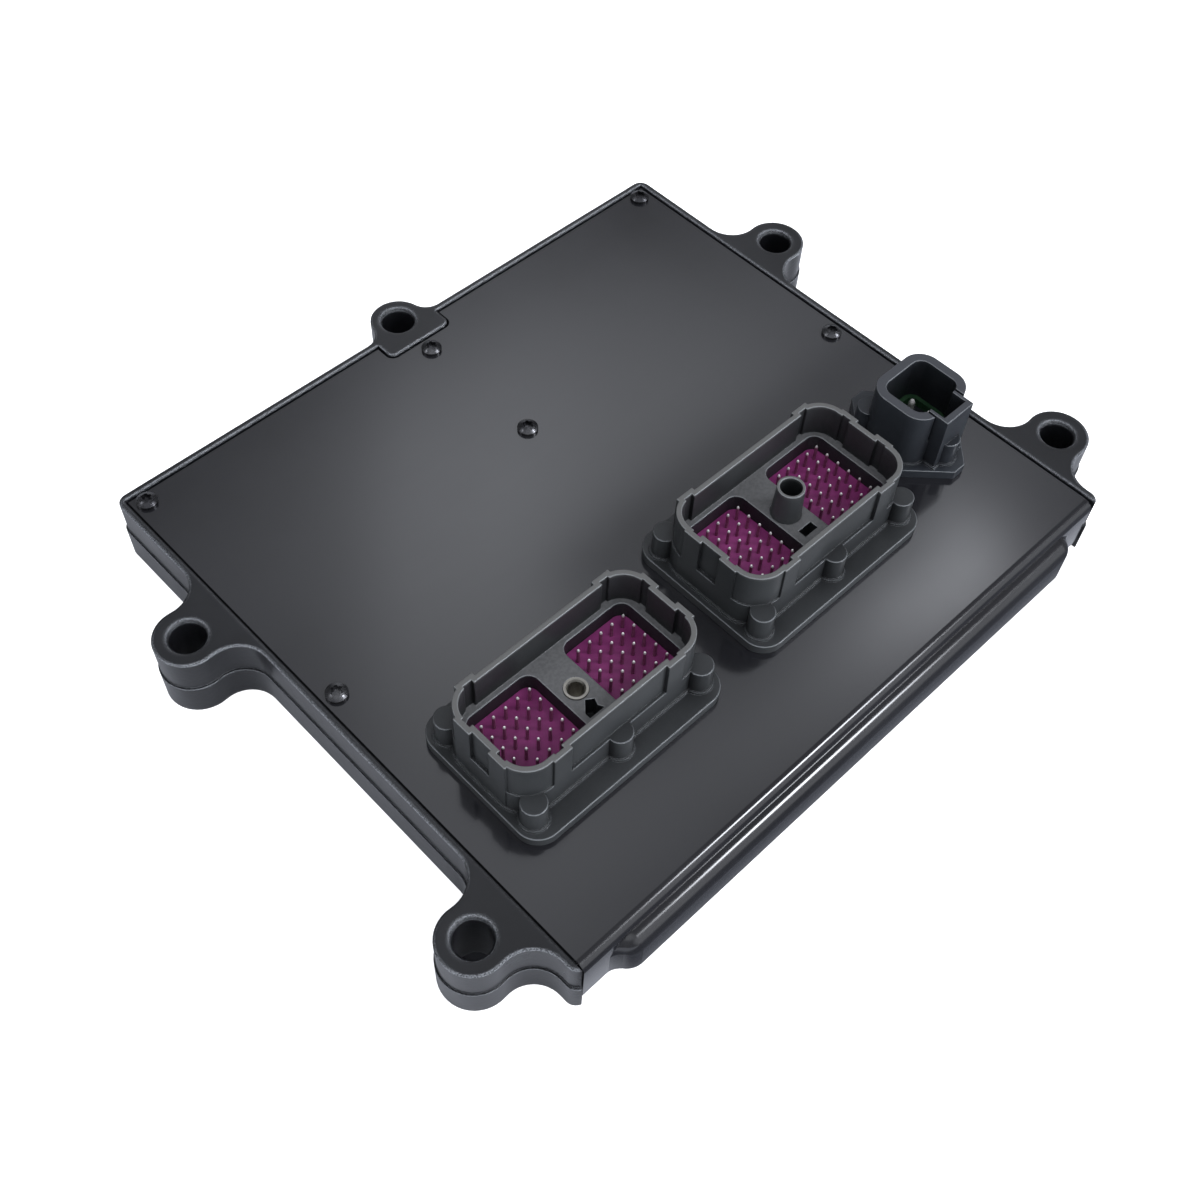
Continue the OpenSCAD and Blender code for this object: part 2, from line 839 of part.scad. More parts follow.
// places the children at the pins of one half, seen from its middle
module at_pins(rows) {
    for (i = [0:pin_cols - 1], j = [0:rows - 1])
        translate([i * pin_pitch - field_hx, j * pin_pitch - row_half(rows), 0])
            children();
}

// pin seal of one half
module pin_seal(rows) {
    color([0.45, 0.13, 0.35])
    translate([0, 0, seat_z])
        difference() {
            linear_extrude(field_z - seat_z)
                rrect(pocket_hx - seat_play, pocket_hy(rows) - seat_play, pocket_r - seat_play);
            translate([0, 0, -1])
                at_pins(rows)
                    cylinder(h = field_z - seat_z + 2, r = pin_r + screw_fit / 2, $fn = 24);
        }
}

// pins of both halves
module header_pins(rows) {
    tip = pin_r * 1.2;
    color([0.75, 0.72, 0.68])
    for (s = [-1, 1])
        translate([s * field_off, 0, board_z])
            at_pins(rows) {
                cylinder(h = bridge_z - board_z - tip, r = pin_r, $fn = 24);
                translate([0, 0, bridge_z - board_z - tip])
                    cylinder(h = tip, r1 = pin_r, r2 = pin_r * 0.5, $fn = 24);
            }
}

module pin_seal_left_a() {
    translate([left_x - field_off, left_y, 0])
        pin_seal(left_rows);
}

module pin_seal_left_b() {
    translate([left_x + field_off, left_y, 0])
        pin_seal(left_rows);
}

module pin_seal_right_a() {
    translate([right_x - field_off, right_y, 0])
        pin_seal(right_rows);
}

module pin_seal_right_b() {
    translate([right_x + field_off, right_y, 0])
        pin_seal(right_rows);
}

module pins_left() {
    translate([left_x, left_y, 0])
        header_pins(left_rows);
}

module pins_right() {
    translate([right_x, right_y, 0])
        header_pins(right_rows);
}

module jack_insert() {
    color([0.6, 0.57, 0.5])
    translate([left_x, left_y, jack_bottom])
        difference() {
            cylinder(h = bridge_z - jack_bottom + jack_lift, r = jack_r);
            translate([0, 0, jack_floor])
                cylinder(h = shroud_h, r = jack_bore_r);
            translate([0, 0, bridge_z - jack_bottom + jack_lift - jack_chamfer])
                cylinder(h = 2 * jack_chamfer, r1 = jack_bore_r, r2 = jack_bore_r + 2 * jack_chamfer);
        }
}

module jack_tube() {
    color([0.22, 0.22, 0.22])
    translate([right_x, right_y, jack_bottom])
        difference() {
            union() {
                cylinder(h = bridge_z - jack_bottom, r = tube_foot_r);
                translate([0, 0, bridge_z - jack_bottom])
                    cylinder(h = shroud_top - bridge_z, r1 = tube_foot_r, r2 = tube_r);
            }
            translate([0, 0, jack_floor])
                cylinder(h = shroud_top, r = tube_bore_r);
        }
}

// gasket under a header's flange
module gasket(hx, hy) {
    color([0.15, 0.15, 0.16])
    translate([0, 0, lid_top])
        linear_extrude(gasket_t)
            gasket_plan(hx, hy, 0);
}

module gasket_left() {
    translate([left_x, left_y, 0])
        gasket(skirt_hx, skirt_hy(left_rows));
}

module gasket_right() {
    translate([right_x, right_y, 0])
        gasket(skirt_hx, skirt_hy(right_rows));
}

module gasket_power() {
    translate([power_x, power_y, 0])
        gasket(power_skirt_hx, power_skirt_hy);
}

// header screw with its head under the lid
module header_screw() {
    color([0.55, 0.55, 0.56]) {
        translate([0, 0, lid_under - header_head_h])
            cylinder(h = header_head_h, r = header_head_r);
        translate([0, 0, lid_under])
            cylinder(h = header_screw_top - lid_under, r = header_screw_r);
    }
}

// screws of a harness header
module header_screws(rows) {
    at_bosses(rows)
        header_screw();
}

module header_screws_left() {
    translate([left_x, left_y, 0])
        header_screws(left_rows);
}

module header_screws_right() {
    translate([right_x, right_y, 0])
        header_screws(right_rows);
}

module header_screws_power() {
    for (p = power_bosses())
        translate([power_x + p[0], power_y + p[1], 0])
            header_screw();
}

// rectangle with its four corners cut
module cut_rect(hx, hy, c) {
    polygon([[hx, c - hy], [hx, hy - c], [hx - c, hy], [c - hx, hy], [-hx, hy - c], [-hx, c - hy],
        [c - hx, -hy], [hx - c, -hy]]);
}

// places the children at the power pins
module at_power_pins() {
    for (sx = [-1, 1], sy = [-1, 1])
        translate([sx * power_pitch_x / 2, sy * power_pitch_y / 2, 0])
            children();
}

// outline of the power shroud with its latch box, grown by g
module power_plan(g) {
    rrect(power_hx + g, power_hy + g, power_r + g);
    span(-latch_hx - g, -power_hy - latch_out - g, latch_hx + g, 0);
}

module power_header() {
    in_hx = power_hx - power_wall;
    in_hy = power_hy - power_wall;
    front = -power_hy - latch_out;
    color([0.13, 0.14, 0.16])
    translate([power_x, power_y, 0])
        difference() {
            union() {
                translate([0, 0, lid_top])
                    linear_extrude(flange_t)
                        cut_rect(power_flange_hx, power_flange_hy, power_cut);
                translate([0, 0, lid_top])
                    linear_extrude(flange_t + foot_w)
                        power_plan(foot_w);
                translate([0, 0, lid_top])
                    linear_extrude(power_h)
                        power_plan(0);
                for (p = power_bosses())
                    translate([p[0], p[1], lid_top]) {
                        cylinder(h = flange_t + foot_w, r = boss_r + foot_w);
                        cylinder(h = step_h, r = boss_r);
                    }
                translate([0, 0, skirt_z])
                    linear_extrude(lid_top - skirt_z + 1)
                        rrect(power_skirt_hx, power_skirt_hy, 3);
            }
            translate([0, 0, power_floor_z])
                linear_extrude(power_h)
                    rrect(in_hx, in_hy, power_r - power_wall);
            translate([0, 0, power_top - slit_depth])
                linear_extrude(power_h) {
                    span(-latch_hx + latch_side, front + latch_wall, latch_hx - latch_side, 0);
                    for (s = [-1, 1])
                        span(s * (latch_hx + slit_w / 2) - slit_w / 2, -power_hy - 2,
                            s * (latch_hx + slit_w / 2) + slit_w / 2, 1 - in_hy);
                }
            translate([0, 0, lid_top - 1])
                linear_extrude(gasket_t + 1)
                    gasket_plan(power_skirt_hx, power_skirt_hy, seat_play);
            at_power_pins()
                translate([0, 0, skirt_z - 1])
                    cylinder(h = power_h, r = power_pin_r + screw_fit / 2);
            for (p = power_bosses())
                translate([p[0], p[1], lid_top - 1])
                    cylinder(h = header_screw_top - lid_top + 1.5, r = header_screw_r + screw_fit);
        }
}

module power_pins() {
    tip = power_pin_r;
    top = lid_top + power_pin_h;
    color([0.8, 0.68, 0.4])
    translate([power_x, power_y, board_z])
        at_power_pins() {
            cylinder(h = top - board_z - tip, r = power_pin_r);
            translate([0, 0, top - board_z - tip])
                cylinder(h = tip, r1 = power_pin_r, r2 = power_pin_r * 0.5);
        }
}

module power_seal() {
    out_hx = power_hx - power_wall - seat_play;
    out_hy = power_hy - power_wall - seat_play;
    out_r = power_r - power_wall - seat_play;
    color([0.2, 0.4, 0.25])
    translate([power_x, power_y, power_floor_z])
        linear_extrude(ring_h)
            difference() {
                rrect(out_hx, out_hy, out_r);
                rrect(out_hx - ring_w, out_hy - ring_w, out_r - ring_w);
            }
}

module circuit_board() {
    color([0.08, 0.26, 0.14])
    difference() {
        translate([-board_hx, board_y0, board_under])
            cube([2 * board_hx, board_y1 - board_y0, board_t]);
        translate([0, screw_centre_y, board_under - 1])
            cylinder(h = board_t + 2, r = screw_boss_r + board_gap);
        at_board_screws()
            translate([0, 0, board_under - 1])
                cylinder(h = board_t + 2, r = board_screw_r + screw_play);
    }
}

module board_screws() {
    color([0.6, 0.6, 0.62])
    at_board_screws() {
        translate([0, 0, board_z])
            cylinder(h = board_screw_r * 1.4, r = board_screw_r * 2);
        translate([0, 0, floor_t + 0.5])
            cylinder(h = board_z - floor_t - 0.5, r = board_screw_r);
    }
}

// places the children on the board by shares of its half width and of its depth
module on_board(x, y) {
    translate([board_hx * x, board_y0 + (board_y1 - board_y0) * y, board_z])
        children();
}

// chips in a row, the first in the middle
module chips(count, w, d, h) {
    for (i = [0:count - 1])
        translate([i * (w + part_gap) - w / 2, -d / 2, 0])
            cube([w, d, h]);
}

module processor() {
    color([0.07, 0.07, 0.08])
    on_board(-0.36, 0.61)
        chips(1, processor_w, processor_w, chip_h);
}

module memory_chips() {
    color([0.08, 0.08, 0.09])
    on_board(-0.66, 0.57)
        rotate(90)
            chips(2, memory_d, memory_w, chip_h * 0.7);
}

module supply_chips() {
    color([0.09, 0.09, 0.1])
    on_board(0.56, 0.55)
        chips(2, supply_w, supply_w, chip_h);
}

module driver_chips() {
    color([0.08, 0.08, 0.09])
    on_board(-0.72, 0.74)
        chips(4, driver_w, driver_d, chip_h);
}

module transceivers() {
    color([0.1, 0.1, 0.11])
    on_board(-0.07, 0.57)
        chips(4, transceiver_w, transceiver_d, chip_h * 0.7);
}

module power_transistors() {
    color([0.1, 0.1, 0.11])
    for (s = [-1, 1])
        translate([s * thermal_x - transistor_w - part_gap, thermal_y, board_z])
            chips(3, transistor_w, transistor_d, chip_h * 1.7);
}

module capacitors() {
    color([0.55, 0.55, 0.57])
    on_board(0.18, 0.75)
        for (i = [0:5])
            translate([i * (2 * cap_r + part_gap), 0, 0])
                cylinder(h = cap_h, r = cap_r);
}

module inductors() {
    color([0.22, 0.22, 0.23])
    on_board(0.32, 0.65)
        chips(3, inductor_w, inductor_w, inductor_h);
}

module crystal() {
    color([0.7, 0.7, 0.7])
    on_board(-0.13, 0.65)
        chips(1, crystal_w, crystal_d, chip_h * 1.4);
}

module pressure_sensor() {
    color([0.12, 0.12, 0.13])
    on_board(0.04, 0.66) {
        chips(1, sensor_w, sensor_w, sensor_h);
        translate([0, 0, sensor_h])
            cylinder(h = sensor_port_h, r = sensor_port_r);
    }
}

module thermal_pads() {
    color([0.5, 0.6, 0.68])
    for (s = [-1, 1])
        translate([s * thermal_x - thermal_hx, thermal_y - thermal_hy, board_under - thermal_t])
            cube([2 * thermal_hx, 2 * thermal_hy, thermal_t]);
}

housing();
cover();
cover_seal();
cover_screws();
header_left();
pin_seal_left_a();
pin_seal_left_b();
pins_left();
jack_insert();
gasket_left();
header_screws_left();
header_right();
pin_seal_right_a();
pin_seal_right_b();
pins_right();
jack_tube();
gasket_right();
header_screws_right();
power_header();
power_pins();
power_seal();
gasket_power();
header_screws_power();
circuit_board();
board_screws();
processor();
memory_chips();
supply_chips();
driver_chips();
transceivers();
power_transistors();
capacitors();
inductors();
crystal();
pressure_sensor();
thermal_pads();
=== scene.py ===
"""Engine control unit on a pale floor, seen as in the photograph."""

import json
import math

import bpy
from mathutils import Euler, Matrix, Vector


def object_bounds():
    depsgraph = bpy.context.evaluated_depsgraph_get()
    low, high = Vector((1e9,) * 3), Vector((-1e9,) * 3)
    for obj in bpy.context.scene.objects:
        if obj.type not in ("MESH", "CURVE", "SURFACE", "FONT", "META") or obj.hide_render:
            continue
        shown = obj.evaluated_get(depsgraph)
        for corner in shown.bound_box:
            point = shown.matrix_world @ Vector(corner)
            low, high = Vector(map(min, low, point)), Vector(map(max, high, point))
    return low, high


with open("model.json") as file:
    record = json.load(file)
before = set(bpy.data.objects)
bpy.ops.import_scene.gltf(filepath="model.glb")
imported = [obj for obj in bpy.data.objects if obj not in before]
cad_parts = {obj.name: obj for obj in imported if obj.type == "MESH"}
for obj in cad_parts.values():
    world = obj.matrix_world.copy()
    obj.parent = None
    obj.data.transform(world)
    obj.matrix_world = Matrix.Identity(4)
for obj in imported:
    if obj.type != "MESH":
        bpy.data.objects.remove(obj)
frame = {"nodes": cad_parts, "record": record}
first_box = [list(v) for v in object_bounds()]
nodes = frame["nodes"]
scene = bpy.context.scene


# Named values, in metres and degrees

def top_of(name):
    """Height of the highest point of a CAD piece."""
    obj = nodes[name]
    return max((obj.matrix_world @ Vector(corner)).z for corner in obj.bound_box)


LEFT, FRONT, BASE = first_box[0]
LID_TOP = top_of("cover")
HEADER_TOP = top_of("header_left")
POWER_TOP = top_of("power_header")
PIN_TOP = top_of("pins_left")
POWER_PIN_TOP = top_of("power_pins")
BRIDGE_TOP = PIN_TOP                    # the pins end level with the bridge between the sockets

CAMERA_AT = Vector((-0.22875, -0.20999, 0.40854))
CAMERA_TURN = (34.98, -2.05, -43.94)
SENSOR_MM = 36.0
LENS_MM = 43.205

MAIN_LIGHT = (-0.4, -0.66, 0.64)        # the way that edges with a painted highlight face
EDGE_REACH = 3.0                        # how far, in edge radii, an edge has to be clear to get a painted highlight
HOLLOW_REACH = 0.04                     # how far the walls of a socket reach in painting shade on its inside
RIM_WEAR = (0.0009, 0.0002)             # start of the worn band below a header's top, and its end above
RIM_WAVE = 0.0012                       # how unevenly that band starts
BRIDGE_PALE = (0.0005, 0.0002)                # start and full strength of the pale upward faces of the bridge, below its top
TIP_LENGTH = 0.0007                     # length over which a pin goes pale, a painted highlight at its tip
PIN_END = 0.0001                        # length of the fully pale end of a pin's painted tip highlight
POWER_PIN_END = 0.0003

FLOOR_Z = BASE - 0.0004
FLOOR_HALF = 6.0
SHADE_OUT = (0.0004, 0.0012)            # start and end of a hole shade's soft edge, outside the hole
DARK_X = (LEFT + 0.01, LEFT + 0.035)    # where the floor that the front fold mirrors goes dark
DARK_Y = (FRONT + 0.0055, FRONT - 0.0045)

AMBIENT = 0.26
BEAM_BACK = (0.0018, -0.0066)           # back, front and left edges of the dark beam, as the lid mirrors it
BEAM_FRONT = (-0.0411, -0.022)
BEAM_LEFT = (-0.0522, -0.0215)
BEAM_DARK = 0.65
FAR_BACK = (0.0701, 0.1124)             # where the ceiling gets darker towards the back and the right
FAR_RIGHT = (0.0629, 0.1243)
FAR_BACK_DARK, FAR_RIGHT_DARK = 0.32, 0.25
GLOSSY_LOSS = 0.82                      # share of the soft fill lights that glossy faces don't mirror
LEAST_RISE = 0.05                       # keeps the ceiling finite near the horizon


# Small helpers for node trees

class Tree:
    """Adds nodes to a shader tree and links them."""

    def __init__(self, tree):
        self.tree = tree

    def add(self, kind, **values):
        node = self.tree.nodes.new(kind)
        for name, value in values.items():
            setattr(node, name, value)
        return node

    def link(self, out, socket):
        self.tree.links.new(out, socket)

    def put(self, socket, value):
        if isinstance(value, bpy.types.NodeSocket):
            self.link(value, socket)
        else:
            socket.default_value = value

    def math(self, op, a, b):
        node = self.add("ShaderNodeMath", operation=op)
        self.put(node.inputs[0], a)
        self.put(node.inputs[1], b)
        return node.outputs[0]

    def product(self, first, *others):
        for other in others:
            first = self.math("MULTIPLY", first, other)
        return first

    def total(self, first, *others):
        for other in others:
            first = self.math("ADD", first, other)
        return first

    def left(self, share):
        """What a share leaves of one."""
        return self.math("SUBTRACT", 1.0, share)

    def dot(self, a, b):
        node = self.add("ShaderNodeVectorMath", operation="DOT_PRODUCT")
        self.put(node.inputs[0], a)
        self.put(node.inputs[1], b)
        return node.outputs["Value"]

    def split(self, vector):
        """The X, Y and Z outputs of a vector."""
        node = self.add("ShaderNodeSeparateXYZ")
        self.link(vector, node.inputs[0])
        return node.outputs

    def ramp(self, value, low, high, out_low=0.0, out_high=1.0):
        node = self.add("ShaderNodeMapRange", interpolation_type="SMOOTHSTEP")
        self.put(node.inputs["Value"], value)
        self.put(node.inputs["From Min"], low)
        self.put(node.inputs["From Max"], high)
        self.put(node.inputs["To Min"], out_low)
        self.put(node.inputs["To Max"], out_high)
        return node.outputs["Result"]

    def mix(self, fac, a, b):
        node = self.add("ShaderNodeMix", data_type="RGBA")
        self.put(node.inputs[0], fac)
        self.put(node.inputs[6], a)
        self.put(node.inputs[7], b)
        return node.outputs[2]

    def noise(self, coords, scale, detail, rough=0.55):
        node = self.add("ShaderNodeTexNoise")
        self.put(node.inputs["Vector"], coords)
        self.put(node.inputs["Scale"], scale)
        self.put(node.inputs["Detail"], detail)
        self.put(node.inputs["Roughness"], rough)
        return node.outputs["Fac"]

    def bump(self, height, distance, strength, normal=None):
        node = self.add("ShaderNodeBump")
        self.put(node.inputs["Height"], height)
        self.put(node.inputs["Distance"], distance)
        self.put(node.inputs["Strength"], strength)
        if normal is not None:
            self.put(node.inputs["Normal"], normal)
        return node.outputs["Normal"]

    def true_normal(self):
        return self.add("ShaderNodeNewGeometry").outputs["True Normal"]

    def openness(self, reach):
        """How clear a point is of its own piece within a reach, from 0 to 1."""
        node = self.add("ShaderNodeAmbientOcclusion", samples=3, only_local=True)
        self.put(node.inputs["Distance"], reach)
        return node.outputs["AO"]

    def round_edges(self, radius):
        """Rounded edge normals, and a mask of the upper edges that face the main light, for painted
        highlights.
        """
        node = self.add("ShaderNodeBevel", samples=4)
        self.put(node.inputs["Radius"], radius)
        rounded = node.outputs["Normal"]
        bent = self.ramp(self.dot(rounded, self.true_normal()), 0.985, 0.86)
        clear = self.ramp(self.openness(radius * EDGE_REACH), 0.75, 0.95)
        upper = self.ramp(self.split(rounded)["Z"], 0.25, 0.5)
        lit = self.ramp(self.dot(rounded, MAIN_LIGHT), 0.2, 0.85)
        return rounded, self.product(bent, clear, upper, lit)


def material(name):
    """A new material with its tree helper, its main shader and object coordinates."""
    mat = bpy.data.materials.new(name)
    mat.use_nodes = True
    mat.node_tree.nodes.clear()
    t = Tree(mat.node_tree)
    out = t.add("ShaderNodeOutputMaterial")
    bsdf = t.add("ShaderNodeBsdfPrincipled")
    t.link(bsdf.outputs[0], out.inputs["Surface"])
    coords = t.add("ShaderNodeTexCoord").outputs["Object"]
    return mat, t, bsdf, coords


def rgb(r, g, b):
    return (r, g, b, 1.0)


# Materials

def resin(name, dark, light, rough, grain):
    """Plain moulded resin with fine grain."""
    mat, t, bsdf, co = material(name)
    blotch = t.noise(co, 45.0, 4.0)
    fine = t.noise(co, grain, 2.0)
    t.put(bsdf.inputs["Base Color"], t.mix(t.ramp(blotch, 0.3, 0.7), rgb(*dark), rgb(*light)))
    t.put(bsdf.inputs["Roughness"], t.ramp(blotch, 0.25, 0.75, rough - 0.06, rough + 0.08))
    bsdf.inputs["Specular IOR Level"].default_value = 0.45
    t.put(bsdf.inputs["Normal"], t.bump(fine, 0.00003, 0.6))
    return mat


def header_plastic(name, dark, light, rough, top, rim, edge, bridge=None):
    """Moulded header with grain, painted shade in its hollows, a worn rim, painted edge highlights and, if
    asked, painted shade on its upward faces and a pale top on the bridge.
    """
    mat, t, bsdf, co = material(name)
    blotch = t.noise(co, 45.0, 4.0)
    fine = t.noise(co, 900.0, 2.0)
    height = t.split(co)["Z"]
    up = t.ramp(t.split(t.true_normal())["Z"], 0.2, 0.8)
    color = t.mix(t.ramp(blotch, 0.3, 0.7), rgb(*dark), rgb(*light))
    # Painted shade: hollows are darkened by how closed in they are
    hollow_shade = t.ramp(t.openness(HOLLOW_REACH), 0.42, 0.84, 0.8, 0.0)
    color = t.mix(hollow_shade, color, rgb(0.003, 0.003, 0.0035))
    if bridge is not None:
        # Painted shade on the upward faces; the upward faces just below the bridge's top are made pale,
        # with fine grain
        color = t.mix(t.math("MULTIPLY", up, 0.4), color, rgb(0.01, 0.0105, 0.011))
        high = t.ramp(height, BRIDGE_TOP - BRIDGE_PALE[0], BRIDGE_TOP - BRIDGE_PALE[1])
        pale_bridge = t.product(up, high, t.ramp(fine, 0.3, 0.7, 0.75, 1.0))
        color = t.mix(pale_bridge, color, rgb(*bridge))
    uneven = t.math("ADD", height, t.math("MULTIPLY", blotch, RIM_WAVE))
    worn = t.ramp(uneven, top - RIM_WEAR[0], top + RIM_WEAR[1])
    rubbed = t.math("ADD", t.math("MULTIPLY", up, 0.6), 0.4)
    color = t.mix(t.product(worn, rubbed), color, rgb(*rim))
    # Painted highlight on the upper edges that face the main light, which are also made smoother
    normal, mask = t.round_edges(edge)
    color = t.mix(t.math("MULTIPLY", mask, 0.85), color, rgb(0.36, 0.38, 0.395))
    t.put(bsdf.inputs["Base Color"], color)
    dull = t.ramp(blotch, 0.25, 0.75, rough - 0.06, rough + 0.08)
    t.put(bsdf.inputs["Roughness"], t.math("SUBTRACT", dull, t.math("MULTIPLY", mask, 0.2)))
    t.put(bsdf.inputs["Specular IOR Level"], t.math("SUBTRACT", 0.45, t.math("MULTIPLY", hollow_shade, 0.3)))
    t.put(bsdf.inputs["Normal"], t.bump(fine, 0.00003, 0.6, normal))
    return mat


def metal(name, dark, light, rough):
    """Plated metal with faint uneven tint and fine marks."""
    mat, t, bsdf, co = material(name)
    blotch = t.noise(co, 160.0, 4.0)
    fine = t.noise(co, 2240.0, 2.0)
    t.put(bsdf.inputs["Base Color"], t.mix(t.ramp(blotch, 0.3, 0.7), rgb(*dark), rgb(*light)))
    bsdf.inputs["Metallic"].default_value = 1.0
    t.put(bsdf.inputs["Roughness"], t.ramp(fine, 0.3, 0.7, rough - 0.07, rough + 0.1))
    t.put(bsdf.inputs["Normal"], t.bump(fine, 0.00002, 0.5))
    return mat


def rubber(name, dark, light, rough):
    """Soft moulded seal with a dusty bloom."""
    mat, t, bsdf, co = material(name)
    blotch = t.noise(co, 110.0, 5.0)
    fine = t.noise(co, 1400.0, 2.0)
    t.put(bsdf.inputs["Base Color"], t.mix(t.ramp(blotch, 0.3, 0.72), rgb(*dark), rgb(*light)))
    t.put(bsdf.inputs["Roughness"], t.ramp(blotch, 0.3, 0.7, rough - 0.08, rough + 0.12))
    bsdf.inputs["Specular IOR Level"].default_value = 0.4
    t.put(bsdf.inputs["Normal"], t.bump(fine, 0.00003, 0.5))
    return mat


def cast_paint():
    """Satin black paint over a slightly rough casting, with painted highlights along the edges that face
    the main light.
    """
    mat, t, bsdf, co = material("cast_paint")
    blotch = t.noise(co, 30.0, 4.0)
    skin = t.noise(co, 700.0, 3.0)
    pits = t.noise(co, 2400.0, 2.0)
    color = t.mix(t.ramp(blotch, 0.3, 0.7), rgb(0.0048, 0.005, 0.0062), rgb(0.0085, 0.0088, 0.0105))
    normal, mask = t.round_edges(0.0018)
    # Painted glints, broken up by the pits, on the edges that face the main light
    painted_glint = t.math("MULTIPLY", mask, t.ramp(pits, 0.38, 0.58, 0.2, 1.0))
    t.put(bsdf.inputs["Base Color"], t.mix(painted_glint, color, rgb(0.45, 0.47, 0.5)))
    dull = t.ramp(blotch, 0.2, 0.8, 0.26, 0.38)
    t.put(bsdf.inputs["Roughness"], t.math("SUBTRACT", dull, t.math("MULTIPLY", mask, 0.1)))
    bsdf.inputs["Specular IOR Level"].default_value = 0.36
    bsdf.inputs["Coat Weight"].default_value = 0.3
    bsdf.inputs["Coat Roughness"].default_value = 0.14
    height = t.math("ADD", skin, t.math("MULTIPLY", pits, 0.35))
    t.put(bsdf.inputs["Normal"], t.bump(height, 0.00007, 0.55, normal))
    return mat


def lid_paint():
    """Gloss black paint on pressed sheet, with orange peel, a dull haze and faint wipe marks."""
    mat, t, bsdf, co = material("lid_paint")
    peel = t.noise(co, 260.0, 2.0)
    haze = t.noise(co, 14.0, 5.0, 0.6)
    stretch = t.add("ShaderNodeMapping")
    stretch.inputs["Rotation"].default_value = (0.0, 0.0, 0.7)
    stretch.inputs["Scale"].default_value = (5.0, 60.0, 20.0)
    t.link(co, stretch.inputs["Vector"])
    wipe = t.noise(stretch.outputs[0], 3.0, 3.0)
    color = t.mix(t.ramp(haze, 0.3, 0.7), rgb(0.006, 0.006, 0.0075), rgb(0.0095, 0.0095, 0.0115))
    t.put(bsdf.inputs["Base Color"], color)
    dull = t.math("ADD", t.ramp(haze, 0.25, 0.75, 0.13, 0.2), t.math("MULTIPLY", wipe, 0.04))
    t.put(bsdf.inputs["Roughness"], dull)
    bsdf.inputs["Specular IOR Level"].default_value = 0.5
    bsdf.inputs["Coat Weight"].default_value = 0.9
    bsdf.inputs["Coat Roughness"].default_value = 0.1
    t.put(bsdf.inputs["Normal"], t.bump(peel, 0.00001, 0.25))
    return mat


def board_mask():
    """Green solder mask with copper tracks showing through and scattered vias."""
    mat, t, bsdf, co = material("board_mask")
    tracks = t.add("ShaderNodeTexBrick")
    t.link(co, tracks.inputs["Vector"])
    tracks.inputs["Scale"].default_value = 160.0
    tracks.inputs["Mortar Size"].default_value = 0.035
    dots = t.add("ShaderNodeTexVoronoi")
    t.link(co, dots.inputs["Vector"])
    dots.inputs["Scale"].default_value = 420.0
    mask = t.mix(tracks.outputs["Fac"], rgb(0.006, 0.05, 0.02), rgb(0.02, 0.11, 0.04))
    via = t.ramp(dots.outputs["Distance"], 0.2, 0.12)
    t.put(bsdf.inputs["Base Color"], t.mix(t.math("MULTIPLY", via, 0.5), mask, rgb(0.45, 0.36, 0.16)))
    bsdf.inputs["Roughness"].default_value = 0.35
    t.put(bsdf.inputs["Normal"], t.bump(tracks.outputs["Fac"], 0.00003, 0.5))
    return mat


def pin_metal(name, top, dark, light):
    """Tinned pins with a painted highlight at the tips; the shaft colours can carry a painted reflection of
    the seal below.
    """
    mat, t, bsdf, co = material(name)
    tip_highlight = t.ramp(t.split(co)["Z"], top - TIP_LENGTH, top)
    marks = t.noise(co, 900.0, 2.0)
    shaft = t.mix(t.ramp(marks, 0.3, 0.7), rgb(*dark), rgb(*light))
    t.put(bsdf.inputs["Base Color"], t.mix(tip_highlight, shaft, rgb(0.95, 0.92, 0.9)))
    bsdf.inputs["Metallic"].default_value = 0.6
    t.put(bsdf.inputs["Roughness"], t.ramp(marks, 0.3, 0.7, 0.28, 0.42))
    t.put(bsdf.inputs["Normal"], t.bump(marks, 0.00001, 0.4))
    return mat


looks = {
    "housing": cast_paint(),
    "cover": lid_paint(),
    "seal": rubber("black_seal", (0.012, 0.012, 0.013), (0.03, 0.03, 0.032), 0.6),
    "dark_steel": metal("screw_steel", (0.06, 0.06, 0.065), (0.13, 0.13, 0.135), 0.27),
    "header": header_plastic("header_plastic", (0.034, 0.0365, 0.0383), (0.049, 0.0525, 0.0548), 0.4,
                             top=HEADER_TOP, rim=(0.088, 0.088, 0.085), edge=0.0007,
                             bridge=(0.1, 0.1, 0.101)),
    "pin_seal": rubber("pin_seal", (0.132, 0.013, 0.082), (0.2, 0.024, 0.126), 0.5),
    # Signal pin shafts are tinted with the seal's colour, a painted reflection of the seal
    "pins": pin_metal("pin_metal", PIN_TOP - PIN_END, (0.2, 0.05, 0.12), (0.3, 0.1, 0.19)),
    "jack_insert": metal("nickel", (0.31, 0.3, 0.27), (0.42, 0.4, 0.36), 0.34),
    "power_header": header_plastic("power_plastic", (0.022, 0.025, 0.03), (0.034, 0.0385, 0.0455), 0.34,
                                   top=POWER_TOP, rim=(0.038, 0.04, 0.046), edge=0.0006),
    "power_pins": pin_metal("tinned", POWER_PIN_TOP - POWER_PIN_END, (0.3, 0.31, 0.29), (0.42, 0.43, 0.4)),
    "power_seal": rubber("green_seal", (0.005, 0.021, 0.008), (0.011, 0.04, 0.014), 0.45),
    "steel": metal("zinc", (0.5, 0.5, 0.52), (0.66, 0.66, 0.68), 0.34),
    "board": board_mask(),
    "chip": resin("chip_resin", (0.012, 0.012, 0.013), (0.022, 0.022, 0.023), 0.55, 2200.0),
    "can": metal("can_metal", (0.55, 0.55, 0.57), (0.7, 0.7, 0.72), 0.3),
    "ferrite": resin("ferrite", (0.03, 0.03, 0.032), (0.055, 0.055, 0.058), 0.6, 1600.0),
    "thermal_pad": rubber("thermal_pad", (0.13, 0.2, 0.26), (0.2, 0.28, 0.34), 0.7),
}

